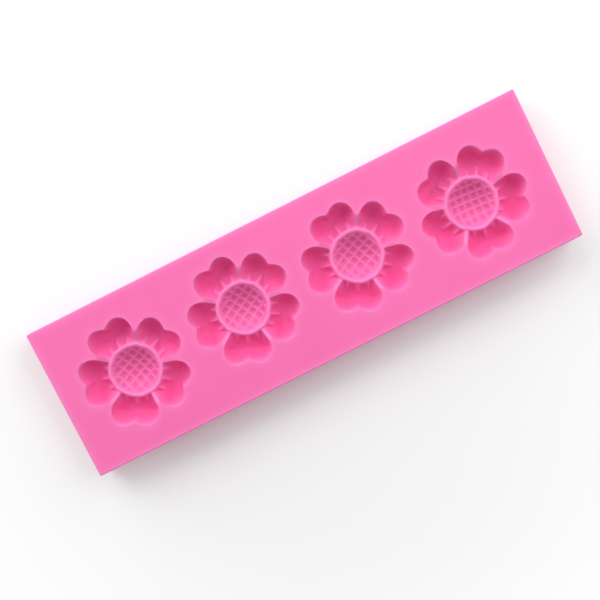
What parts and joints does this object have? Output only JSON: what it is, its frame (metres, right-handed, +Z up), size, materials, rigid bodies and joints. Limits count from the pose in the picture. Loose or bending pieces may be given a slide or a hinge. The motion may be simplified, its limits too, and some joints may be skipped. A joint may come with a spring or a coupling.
{
  "type": "silicone chocolate mould",
  "caption": "Flexible silicone slab mould with a row of daisy-shaped cavities for casting chocolate or sugar flowers.",
  "frame": {"origin": "centre of the slab's underside", "axes": "+X along the row of flowers, +Y across the slab, +Z up out of the cavities"},
  "size_m": [0.145, 0.043, 0.01],
  "materials": {
    "silicone": "matte"
  },
  "bodies": {
    "cell_2": {"flower_cell_2": "silicone", "flex_web_1": "silicone", "flex_web_2": "silicone"},
    "cell_1": {"flower_cell_1": "silicone"},
    "cell_3": {"flower_cell_3": "silicone", "flex_web_3": "silicone"},
    "cell_4": {"flower_cell_4": "silicone"}
  },
  "joints": [
    {"name": "bend_1", "type": "hinge", "parent": "cell_2", "child": "cell_1", "pos_m": [-0.0341, 0, 0.005], "axis": [0, 1, 0], "range_deg": [0, 25], "stiffness_Nm_per_rad": 0.08, "deforming": ["flex_web_1"]},
    {"name": "bend_2", "type": "hinge", "parent": "cell_2", "child": "cell_3", "pos_m": [-0.0005, 0, 0.005], "axis": [0, -1, 0], "range_deg": [0, 25], "stiffness_Nm_per_rad": 0.08, "deforming": ["flex_web_2"]},
    {"name": "bend_3", "type": "hinge", "parent": "cell_3", "child": "cell_4", "pos_m": [0.0331, 0, 0.005], "axis": [0, -1, 0], "range_deg": [0, 25], "stiffness_Nm_per_rad": 0.08, "deforming": ["flex_web_3"]}
  ]
}
